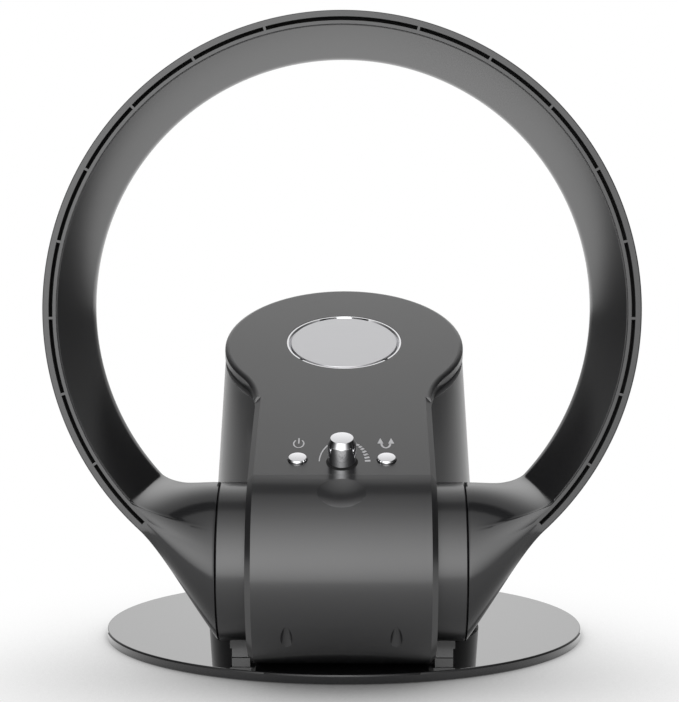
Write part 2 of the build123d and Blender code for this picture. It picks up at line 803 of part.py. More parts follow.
def blade_section(radius, stagger):
    """Plane square to a blade's span, its own x along the chord."""
    turn = radians(stagger)
    return Plane(origin=(radius, 0, blade_middle), x_dir=(0, sin(turn), cos(turn)), z_dir=(1, 0, 0))


with BuildPart() as blade:
    with BuildSketch(blade_section(8.0, blade_root_stagger)):
        SlotOverall(blade_chord, blade_thickness)
    with BuildSketch(blade_section(shroud_radius, blade_tip_stagger)):
        SlotOverall(blade_chord, blade_thickness)
    loft()

impeller_length = impeller_back - impeller_front
with BuildPart(fan) as impeller:
    with Locations((0, 0, impeller_front)):
        Cone(motor_radius - 1, impeller_nose_radius, impeller_length, align=upward)
    with PolarLocations(0, blade_count):
        add(blade.part)
    with Locations((0, 0, impeller_front - impeller_length)):
        tip_radius = shroud_radius - shroud_wall - impeller_tip_gap
        Cylinder(tip_radius, 3 * impeller_length, align=upward, mode=Mode.INTERSECT)
        Cylinder(impeller_shaft_radius, 3 * impeller_length, align=upward, mode=Mode.SUBTRACT)
save(impeller, "impeller")

# ------------------------------------------------------------------ collars and trunnions
for label, side in (("left", -1), ("right", 1)):
    outward = Plane(origin=(0, hub_y, hub_z), x_dir=(0, 1, 0), z_dir=(side, 0, 0))
    with BuildPart() as collar:
        with BuildSketch(outward.offset(body_half_width)):
            Circle(collar_radius)
        extrude(amount=collar_end - body_half_width)
        chamfer(collar.faces().sort_by(Axis.X)[0 if side < 0 else -1].edges(), length=0.6)
        with BuildSketch(outward.offset(body_half_width - side_wall)):
            Circle(spigot_radius - seat_gap)
        extrude(amount=side_wall)
        with BuildSketch(outward.offset(body_half_width - side_wall)):
            Circle(trunnion_radius + running_gap)
        extrude(amount=collar_end, mode=Mode.SUBTRACT)
    save(collar, f"{label}_collar")

    lip_outer = body_half_width - side_wall - 0.4
    groove = (body_half_width + collar_end) / 2
    with BuildPart() as trunnion:
        with BuildSketch(outward.offset(lip_outer - trunnion_lip)):
            Circle(trunnion_radius)
        extrude(amount=leg_face + trunnion_socket - lip_outer + trunnion_lip)
        with BuildSketch(outward.offset(lip_outer - trunnion_lip)):
            Circle(trunnion_radius + 3.0)
        extrude(amount=trunnion_lip)
        with BuildSketch(outward.offset(groove)):
            Circle(trunnion_radius + 1)
            Circle(trunnion_radius - seal_depth, mode=Mode.SUBTRACT)
        extrude(amount=seal_width, mode=Mode.SUBTRACT)
        with BuildSketch(outward.offset(lip_outer - trunnion_lip)):
            Circle(trunnion_radius - trunnion_wall)
        extrude(amount=leg_face, mode=Mode.SUBTRACT)
    save(trunnion, f"{label}_trunnion")

    with BuildPart() as seal:
        with BuildSketch(outward.offset(groove + 0.1)):
            Circle(trunnion_radius)
            Circle(trunnion_radius - seal_depth + 0.05, mode=Mode.SUBTRACT)
        extrude(amount=seal_width - 0.2)
    save(seal, f"{label}_seal")

# ------------------------------------------------------------------ air ring
outer_join_y = ring_back_y - rear_round


def drop(radius, x):
    """Height of the ring's lower wall of a given radius at a distance x from the middle plane."""
    return ring_z - sqrt(radius ** 2 - x ** 2)


def horn_root(inset, x):
    """Section of the leg where it leaves the ring, walls moved inwards by an inset."""
    wall = inset / cos(radians(180 - leg_angle))
    front_y = ring_front_y + inset
    low_front = (front_y, drop(ring_radius, x) + wall)
    high_front = (front_y, drop(ring_radius - lip_width, x) - wall)
    rear_y = outer_join_y - leg_overlap / 2
    high_rear = (rear_y, drop(liner_rear_radius, x) - wall)
    low_rear = (rear_y, drop(ring_rear_radius, x) + wall)
    rear = (ring_back_y - inset, (high_rear[1] + low_rear[1]) / 2)
    middle = ((low_front[0] + low_rear[0]) / 2, drop(ring_radius + ring_bulge, x) + wall)
    Line(low_front, high_front)
    Line(high_front, high_rear)
    ThreePointArc(high_rear, rear, low_rear)
    ThreePointArc(low_rear, middle, low_front)


def horn_mouth(radius):
    """Round end of the leg at the hub, cut into four arcs that meet the root section's corners."""
    for start, stop in ((245, 163), (163, 50), (50, -60), (-60, -115)):
        CenterArc((hub_y, hub_z), radius, start, stop - start)


def horn(inset, mouth_radius, mouth_x, root_x):
    """Left leg as a loft from the ring's section to the round hub end."""
    with BuildPart() as body:
        with BuildSketch(section_plane(-root_x)):
            with BuildLine():
                horn_root(inset, root_x)
            make_face()
        with BuildSketch(section_plane(-mouth_x)):
            with BuildLine():
                horn_mouth(mouth_radius)
            make_face()
        loft()
    return body.part


leg_start = leg_root + leg_overlap
leg_form = horn(weld_step, collar_radius, leg_face, leg_start)
leg_hollow = horn(leg_wall, trunnion_radius - trunnion_wall, leg_face + trunnion_socket, leg_start + 0.5)

with BuildPart() as ring_shell:
    with BuildSketch(ring_plane(-ring_end_angle)):
        with BuildLine():
            front = ring_front_y
            mid_y = (ring_front_y + outer_join_y) / 2
            Polyline(
                (front + ring_wall, ring_radius - ring_wall),
                (front + ring_wall, ring_radius - lip_width),
                (front, ring_radius - lip_width),
                (front, ring_radius),
            )
            ThreePointArc(
                (front, ring_radius),
                (mid_y, ring_radius + ring_bulge),
                (outer_join_y, ring_rear_radius),
            )
            Line((outer_join_y, ring_rear_radius), (outer_join_y, ring_rear_radius - ring_wall))
            ThreePointArc(
                (outer_join_y, ring_rear_radius - ring_wall),
                (mid_y, ring_radius + ring_bulge - ring_wall),
                (front + ring_wall, ring_radius - ring_wall),
            )
        make_face()
    revolve(axis=ring_axis, revolution_arc=2 * ring_end_angle)
    with Locations((0, hub_y, 0)):
        Box(2 * leg_root, 2 * ring_depth, ring_z, align=upward, mode=Mode.SUBTRACT)
    add(leg_form)
    add(leg_form.mirror(Plane.YZ))
    add(leg_hollow, mode=Mode.SUBTRACT)
    add(leg_hollow.mirror(Plane.YZ), mode=Mode.SUBTRACT)
    for side in (-1, 1):
        outward = Plane(origin=(0, hub_y, hub_z), x_dir=(0, 1, 0), z_dir=(side, 0, 0))
        with BuildSketch(outward.offset(leg_face)):
            Circle(trunnion_radius + 0.05)
        extrude(amount=trunnion_socket + 0.1, mode=Mode.SUBTRACT)
    with BuildSketch(ring_face):
        Circle(slot_radius + slot_width / 2)
        Circle(slot_radius - slot_width / 2, mode=Mode.SUBTRACT)
        for side in (-1, 1):
            for bridge in range(1, bridges_each_side + 1):
                angle = 90 - side * bridge * slot_pitch
                spot = (slot_radius * cos(radians(angle)), slot_radius * sin(radians(angle)), 0)
                with Locations(Location(spot, (0, 0, angle))):
                    Rectangle(2 * slot_width, slot_bridge, mode=Mode.SUBTRACT)
        last = radians(bridges_each_side * slot_pitch)
        far = 1.45 * slot_radius
        Polygon(
            (0, 0),
            (far * sin(last), far * cos(last)),
            (-far * sin(last), far * cos(last)),
            align=None,
            mode=Mode.SUBTRACT,
        )
    extrude(amount=-ring_wall - 0.5, mode=Mode.SUBTRACT)
save(ring_shell, "ring_shell")

with BuildPart() as ring_liner:
    with BuildSketch(ring_plane(-ring_end_angle)):
        with BuildLine():
            liner_front = ring_front_y + ring_wall + 0.1
            rear_low = (outer_join_y, liner_rear_radius)
            rear_high = (outer_join_y + 0.1, ring_rear_radius)
            rear_mid = (liner_rear_radius + ring_rear_radius) / 2
            Line((liner_front, liner_front_radius), rear_low)
            ThreePointArc(rear_low, (ring_back_y, rear_mid), rear_high)
            Line(rear_high, (outer_join_y + 0.1, ring_rear_radius - ring_wall))
            ThreePointArc(
                (outer_join_y + 0.1, ring_rear_radius - ring_wall),
                (ring_back_y - ring_wall, rear_mid),
                (outer_join_y, liner_rear_radius + ring_wall),
            )
            Polyline(
                (outer_join_y, liner_rear_radius + ring_wall),
                (liner_front, liner_front_radius + ring_wall),
                (liner_front, liner_front_radius),
            )
        make_face()
    revolve(axis=ring_axis, revolution_arc=2 * ring_end_angle)
    with Locations((0, hub_y, 0)):
        Box(2 * (leg_start + seat_gap), 2 * ring_depth, ring_z, align=upward, mode=Mode.SUBTRACT)
save(ring_liner, "ring_liner")
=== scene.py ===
"""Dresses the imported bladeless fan: ring with its two horn legs, controls, prints, finishes and studio."""
import json
import logging
import math
from dataclasses import dataclass
from enum import Enum
from typing import Any, Callable, Mapping, Sequence

import bmesh
import bpy
import numpy as np
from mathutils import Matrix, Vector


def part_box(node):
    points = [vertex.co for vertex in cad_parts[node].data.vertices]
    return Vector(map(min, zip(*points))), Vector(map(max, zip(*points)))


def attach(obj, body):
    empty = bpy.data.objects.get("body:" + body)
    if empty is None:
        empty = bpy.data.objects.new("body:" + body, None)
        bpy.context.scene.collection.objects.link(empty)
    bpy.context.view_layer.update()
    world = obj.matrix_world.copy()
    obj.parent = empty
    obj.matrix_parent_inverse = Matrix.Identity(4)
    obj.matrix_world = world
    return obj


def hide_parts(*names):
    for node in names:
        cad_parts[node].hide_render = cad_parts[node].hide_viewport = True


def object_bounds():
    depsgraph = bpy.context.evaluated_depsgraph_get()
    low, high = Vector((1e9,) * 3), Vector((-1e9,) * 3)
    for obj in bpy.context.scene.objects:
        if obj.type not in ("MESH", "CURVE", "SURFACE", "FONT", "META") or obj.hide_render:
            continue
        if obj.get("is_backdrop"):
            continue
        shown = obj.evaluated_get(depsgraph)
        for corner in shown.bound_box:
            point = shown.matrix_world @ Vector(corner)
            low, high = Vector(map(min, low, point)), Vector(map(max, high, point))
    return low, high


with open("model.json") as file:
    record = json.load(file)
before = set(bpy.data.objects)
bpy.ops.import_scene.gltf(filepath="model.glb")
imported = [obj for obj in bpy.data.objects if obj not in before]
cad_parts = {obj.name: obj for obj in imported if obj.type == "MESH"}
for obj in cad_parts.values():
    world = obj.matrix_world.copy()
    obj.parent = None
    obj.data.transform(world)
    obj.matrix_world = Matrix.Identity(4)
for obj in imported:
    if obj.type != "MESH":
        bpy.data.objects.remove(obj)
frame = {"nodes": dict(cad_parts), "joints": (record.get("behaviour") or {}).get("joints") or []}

log = logging.getLogger("fan")

Array = np.ndarray
Pair = tuple[float, float]
Triple = tuple[float, float, float]
Tree = bpy.types.NodeTree
Socket = bpy.types.NodeSocket
MM = 0.001


class Body(str, Enum):
    """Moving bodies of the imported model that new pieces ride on."""

    HOUSING = "housing"
    RING = "ring"
    KNOB = "knob"
    POWER_KEY = "power_key"
    SWING_KEY = "swing_key"


class Side(int, Enum):
    """Left is towards -X and right towards +X, as seen from the front."""

    LEFT = -1
    RIGHT = 1


# ---- frame
def millimetres(metres: float) -> float:
    """Turns a length of the frame into millimetres, to the tenth that the fan is drawn in.

    Args:
        metres: Length in metres.

    Returns:
        Length in millimetres.
    """
    return round(metres / MM, 1)


def joint(name: str) -> dict[str, Any]:
    """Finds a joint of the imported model.

    Args:
        name: Name of the joint.

    Returns:
        Its row in the record, with its place and axis.
    """
    return next(row for row in frame["joints"] if row["name"] == name)


# ---- colour and nodes
def linear(colour: str) -> tuple[float, float, float, float]:
    """Turns an sRGB hex colour into linear RGBA.

    Args:
        colour: Six hex digits, with or without a leading #.

    Returns:
        Linear red, green and blue, and an alpha of 1.
    """
    digits = colour.lstrip("#")
    shares = [int(digits[i : i + 2], 16) / 255 for i in (0, 2, 4)]
    red, green, blue = (c / 12.92 if c <= 0.04045 else ((c + 0.055) / 1.055) ** 2.4 for c in shares)
    return red, green, blue, 1.0


def add_node(
    tree: Tree, kind: str, settings: Mapping[str, Any] | None = None, inputs: Mapping[Any, Any] | None = None
) -> bpy.types.Node:
    """Adds a shader node with its settings, values and links.

    Args:
        tree: The node tree.
        kind: Blender's type name of the node, after ShaderNode.
        settings: Properties of the node itself.
        inputs: Values of input sockets by name or number. An output socket is linked.

    Returns:
        The new node.
    """
    node = tree.nodes.new(f"ShaderNode{kind}")
    for name, value in (settings or {}).items():
        setattr(node, name, value)
    for name, value in (inputs or {}).items():
        if isinstance(value, Socket):
            tree.links.new(value, node.inputs[name])
        else:
            node.inputs[name].default_value = value
    return node


def add_noise(tree: Tree, place: Socket, size: float, detail: float, roughness: float = 0.5) -> Socket:
    """Adds noise in space.

    Args:
        tree: The node tree.
        place: Coordinates in metres.
        size: Size of the grain in mm.
        detail: Number of finer layers.
        roughness: Strength of each finer layer over the last.

    Returns:
        The noise as a level between 0 and 1.
    """
    inputs = {"Vector": place, "Scale": 1 / (size * MM), "Detail": detail, "Roughness": roughness}
    return add_node(tree, "TexNoise", {"noise_dimensions": "3D"}, inputs).outputs["Fac"]


def add_range(tree: Tree, level: Socket, middle: float, spread: Pair) -> Socket:
    """Adds a value that follows a level.

    Args:
        tree: The node tree.
        level: A socket between 0 and 1.
        middle: The value that is spread.
        spread: Shares of it at levels 0 and 1.

    Returns:
        The value's socket.
    """
    inputs = {"Value": level, "To Min": middle * spread[0], "To Max": middle * spread[1]}
    return add_node(tree, "MapRange", None, inputs).outputs["Result"]


def add_relief(tree: Tree, level: Socket, strength: float, height: float) -> Socket:
    """Adds a relief to the surface's normal.

    Args:
        tree: The node tree.
        level: The relief as a socket between 0 and 1.
        strength: Share of the relief that shows.
        height: Height of the relief in mm.

    Returns:
        The normal's socket.
    """
    inputs = {"Height": level, "Strength": strength, "Distance": height * MM}
    return add_node(tree, "Bump", None, inputs).outputs["Normal"]


def fresh_material(name: str) -> tuple[bpy.types.Material, Tree]:
    """Makes an empty node material.

    Args:
        name: Name of the material.

    Returns:
        The material and its empty node tree.
    """
    material = bpy.data.materials.new(name)
    material.use_nodes = True
    material.node_tree.nodes.clear()
    return material, material.node_tree


# ---- finishes
@dataclass(frozen=True)
class MouldedPlastic:
    """Injection-moulded plastic: an even colour under a smooth skin that mirrors the studio softly."""

    name: str
    colour: str
    worn: str
    roughness: float
    coat: float = 0.0
    coat_roughness: float = 0.08
    spread: Pair = (0.9, 1.1)
    grain: float = 0.7
    grain_depth: float = 0.01
    grain_height: float = 0.2
    grain_detail: float = 2.0
    swirl: float = 60.0
    swirl_detail: float = 3.0
    swirl_roughness: float = 0.45
    ior: float = 1.5

    def build(self) -> bpy.types.Material:
        """Makes the material.

        Returns:
            Plastic whose colour drifts a little along the melt's flow, with its mould's orange peel.
        """
        material, tree = fresh_material(self.name)
        place = add_node(tree, "TexCoord").outputs["Object"]
        flow = add_noise(tree, place, self.swirl, self.swirl_detail, self.swirl_roughness)
        peel = add_noise(tree, place, self.grain, self.grain_detail)
        tint = add_node(tree, "Mix", {"data_type": "RGBA"},
                        {"Factor": flow, 6: linear(self.colour), 7: linear(self.worn)})
        skin = add_node(tree, "BsdfPrincipled", None, {
            "Base Color": tint.outputs[2],
            "Roughness": add_range(tree, flow, self.roughness, self.spread),
            "IOR": self.ior,
            "Coat Weight": self.coat,
            "Coat Roughness": self.coat_roughness,
            "Normal": add_relief(tree, peel, self.grain_depth, self.grain_height),
        })
        add_node(tree, "OutputMaterial", None, {"Surface": skin.outputs["BSDF"]})
        return material


@dataclass(frozen=True)
class BareMetal:
    """Plated or machined metal, with brush lines where it is brushed and a faint haze where it isn't."""

    name: str
    colour: str
    roughness: float
    brush: float = 0.0
    brush_depth: float = 0.0
    brush_height: float = 0.1
    brush_detail: float = 3.0
    brush_spread: Pair = (0.85, 1.2)
    stretch: Triple = (1.0, 1.0, 1.0)
    haze: float = 7.14
    haze_detail: float = 2.0
    haze_spread: Pair = (0.8, 1.3)

    def build(self) -> bpy.types.Material:
        """Makes the material.

        Returns:
            Metal whose lines run along the axis with the smallest stretch.
        """
        material, tree = fresh_material(self.name)
        place = add_node(tree, "TexCoord").outputs["Object"]
        finish: dict[str, Any] = {"Base Color": linear(self.colour), "Metallic": 1.0}
        if self.brush:
            drawn = add_node(tree, "Mapping", None, {"Vector": place, "Scale": self.stretch})
            lines = add_noise(tree, drawn.outputs["Vector"], self.brush, self.brush_detail)
            finish["Normal"] = add_relief(tree, lines, self.brush_depth, self.brush_height)
            finish["Roughness"] = add_range(tree, lines, self.roughness, self.brush_spread)
        else:
            haze = add_noise(tree, place, self.haze, self.haze_detail)
            finish["Roughness"] = add_range(tree, haze, self.roughness, self.haze_spread)
        skin = add_node(tree, "BsdfPrincipled", None, finish)
        add_node(tree, "OutputMaterial", None, {"Surface": skin.outputs["BSDF"]})
        return material


class Finish(Enum):
    """Finishes of the fan, by what each real one is."""

    # fine-grained mould under a soft sheen: broad highlights with blurred edges
    SATIN_ABS = MouldedPlastic("satin_black_abs", "#1c1c1d", "#202021", 0.35, coat=0.5, coat_roughness=0.17)
    # polished mould: one clear but dim mirror image along the ring
    RING_ABS = MouldedPlastic("polished_black_abs", "#1c1c1d", "#202021", 0.15)
    # lacquered disc: a sharp mirror image of the room and of the fan's foot
    GLOSS_ABS = MouldedPlastic("gloss_black_abs", "#1b1b1c", "#1e1e1f", 0.05, grain_depth=0.003, coat=1.0,
                               coat_roughness=0.03)
    # unpolished mould of parts inside: no highlights
    INNER_ABS = MouldedPlastic("matt_black_abs", "#1a1a1b", "#1e1e1f", 0.55, grain_depth=0.1)
    # painted shade: a near-black, dull finish on the air slot's walls and floor and on the knob's seal ring,
    # which paints the shade of the slot's depth and of the gap under the knob
    DUCT_BLACK = MouldedPlastic("duct_black", "#030303", "#040404", 0.9)
    # natural acetal: off-white and waxy
    ACETAL = MouldedPlastic("white_acetal", "#d8d6d0", "#d2d0ca", 0.35)
    # moulded rubber: dark, dull and slightly grained
    RUBBER = MouldedPlastic("black_rubber", "#141414", "#181818", 0.75, grain_depth=0.15)
    # pad-printed ink: flat pale grey
    PRINT = MouldedPlastic("pale_print", "#b9b9bb", "#b2b2b4", 0.5)
    # solder-masked board: green under a thin gloss
    BOARD = MouldedPlastic("green_lacquered_board", "#123c22", "#16452a", 0.3)
    # bright plating: mirrors window and dark room side by side
    CHROME = BareMetal("polished_chrome", "#e6e6e8", 0.06)
    # anodised cap, brushed across: an even pale glow with faint lines
    SATIN_ALUMINIUM = BareMetal("satin_aluminium", "#c9c9cb", 0.34, brush=0.5, brush_depth=0.05,
                                stretch=(0.03, 1.0, 1.0))
    # turned steel: grey with fine lines
    STEEL = BareMetal("turned_steel", "#a8a9ab", 0.32, brush=0.4, brush_depth=0.05, stretch=(1.0, 1.0, 0.1))

    def material(self) -> bpy.types.Material:
        """Returns this finish's material, made once."""
        found = bpy.data.materials.get(self.value.name)
        return found or self.value.build()


NODES_OF_FINISH: dict[Finish, tuple[str, ...]] = {
    Finish.GLOSS_ABS: ("base_disc",),
    Finish.SATIN_ABS: (
        "housing_shell", "top_cover", "left_collar", "right_collar", "foot_glides", "intake_grille",
    ),
    Finish.RING_ABS: ("ring_shell", "ring_liner"),
    Finish.INNER_ABS: (
        "floor_plate", "bulkhead", "fan_shroud", "dial_sensor", "power_switch", "swing_switch",
        "inlet_socket", "left_trunnion", "right_trunnion", "impeller",
    ),
    Finish.ACETAL: ("glide_ring", "swivel_sleeve", "fixed_gear", "swing_pinion"),
    Finish.RUBBER: ("base_feet", "centre_pad", "left_seal", "right_seal"),
    Finish.BOARD: ("control_board",),
    Finish.STEEL: (
        "base_weight", "base_screws", "swivel_post", "post_nut", "fan_motor", "swing_motor",
        "housing_screws", "impeller_shaft", "knob_stem",
    ),
    Finish.CHROME: ("cap_bezel", "speed_knob", "power_button", "swing_button"),
    Finish.SATIN_ALUMINIUM: ("cap_plate",),
}


# ---- surfaces
def grid_faces(rows: int, columns: int, closed_rows: bool = False, closed_columns: bool = False) -> Array:
    """Works out the four corners of each face on a grid of points.

    Args:
        rows: Number of rows of points.
        columns: Number of columns of points.
        closed_rows: Joins the last row to the first.
        closed_columns: Joins the last column to the first.

    Returns:
        Faces by four point numbers; row r and column c is point r * columns + c.
    """
    r = np.arange(rows if closed_rows else rows - 1)[:, None]
    c = np.arange(columns if closed_columns else columns - 1)[None, :]
    r_next, c_next = (r + 1) % rows, (c + 1) % columns
    corners = [r * columns + c, r * columns + c_next, r_next * columns + c_next, r_next * columns + c]
    return np.stack([np.broadcast_to(k, (r.shape[0], c.shape[1])) for k in corners], -1).reshape(-1, 4)


def repeated(faces: Array, times: int) -> Array:
    """Repeats the faces of one grid for several alike grids, whose points follow each other.

    Args:
        faces: Faces of the first grid, which uses all its points.
        times: Number of grids.

    Returns:
        The faces of all grids.
    """
    points_each = int(faces.max()) + 1
    return (faces[None] + points_each * np.arange(times)[:, None, None]).reshape(-1, 4)


def build_piece(
    name: str, points: Array, faces: Array, finishes: Sequence[Finish], body: Body,
    finish_of_face: Array | None = None, crease: float = 35.0,
) -> bpy.types.Object:
    """Puts a worked-out surface into a mesh that rides on a body.

    Args:
        name: Name of the piece.
        points: Points in metres, N by 3.
        faces: Faces as rows of point numbers.
        finishes: Finishes of the piece, in the order of its material slots.
        body: The body that it rides on.
        finish_of_face: Number of each face's finish, or None for the first everywhere.
        crease: Angle in degrees over which an edge stays sharp.

    Returns:
        The object.
    """
    mesh = bpy.data.meshes.new(name)
    mesh.from_pydata(points.reshape(-1, 3).tolist(), [], faces.tolist())
    for finish in finishes:
        mesh.materials.append(finish.material())
    if finish_of_face is not None:
        mesh.polygons.foreach_set("material_index", finish_of_face.astype(np.int32))
    weld(mesh)
    mesh.set_sharp_from_angle(angle=math.radians(crease))
    piece = bpy.data.objects.new(name, mesh)
    bpy.context.scene.collection.objects.link(piece)
    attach(piece, body.value)
    log.info("%s: %d points, %d faces", name, len(mesh.vertices), len(mesh.polygons))
    return piece


def weld(mesh: bpy.types.Mesh, reach: float = 1e-6) -> None:
    """Joins points that coincide, drops faces without area and turns the normals outwards.

    Args:
        mesh: The mesh to weld.
        reach: Distance in metres within which points are one.
    """
    work = bmesh.new()
    work.from_mesh(mesh)
    bmesh.ops.remove_doubles(work, verts=work.verts, dist=reach)
    bmesh.ops.dissolve_degenerate(work, dist=reach / 2, edges=work.edges)
    bmesh.ops.recalc_face_normals(work, faces=work.faces)
    work.to_mesh(mesh)
    work.free()
    mesh.shade_smooth()


def lathe(
    profile: Sequence[Pair], origin: Array, across: Array, axis: Array, count: int
) -> tuple[Array, Array]:
    """Turns a profile round an axis: point = origin + r (cos t across + sin t side) + h axis.

    Args:
        profile: Radius and height pairs in metres.
        origin: Foot of the axis.
        across: Unit vector square to the axis, where the turn starts.
        axis: Unit vector along the axis.
        count: Number of steps round.

    Returns:
        Points and faces.
    """
    r, h = np.array(profile).T
    turn = np.linspace(0, 2 * np.pi, count, endpoint=False)
    side = np.cross(axis, across)
    spoke = np.cos(turn)[:, None] * across + np.sin(turn)[:, None] * side
    points = origin + r[:, None, None] * spoke[None] + h[:, None, None] * axis
    return points, grid_faces(len(r), count, closed_columns=True)


def rounded(points: Sequence[Triple], steps: int = 5) -> list[Pair]:
    """Rounds the corners of an open profile with arcs.

    Args:
        points: Corner places and the radius of each corner; 0 keeps it sharp.
        steps: Steps of each arc.

    Returns:
        The profile's points.
    """
    out: list[Pair] = []
    corners = [np.array(p[:2]) for p in points]
    for i, (corner, radius) in enumerate(zip(corners, (p[2] for p in points))):
        if radius <= 0 or i in (0, len(corners) - 1):
            out.append(tuple(corner))
            continue
        back, ahead = corners[i - 1] - corner, corners[i + 1] - corner
        back, ahead = back / np.linalg.norm(back), ahead / np.linalg.norm(ahead)
        half = math.acos(float(np.clip(back @ ahead, -1, 1))) / 2
        reach = radius / math.tan(half)
        t = np.linspace(0, 1, steps + 1)[:, None]
        start, stop = corner + back * reach, corner + ahead * reach
        middle = corner + (back + ahead) / np.linalg.norm(back + ahead) * radius / math.sin(half)
        first, last = start - middle, stop - middle
        sweep = math.pi - 2 * half
        arc = middle + (np.sin((1 - t) * sweep) * first + np.sin(t * sweep) * last) / math.sin(sweep)
        out.extend(map(tuple, arc))
    return out


# ---- ring and legs
@dataclass(frozen=True)
class Corner:
    """A corner of the ring's section, and the stretch of rows that leads from it to the next corner.

    root is the angle from the ring's top where the row leaves for the leg, and hub the angle on the hub
    circle, from the back over the top, where it ends. A stretch without bend is straight; bend gives radius
    and depth at a share of it.
    """

    radius: float
    y: float
    root: float
    hub: float
    steps: int = 0
    in_slot: bool = False
    bend: Callable[[float], Pair] | None = None


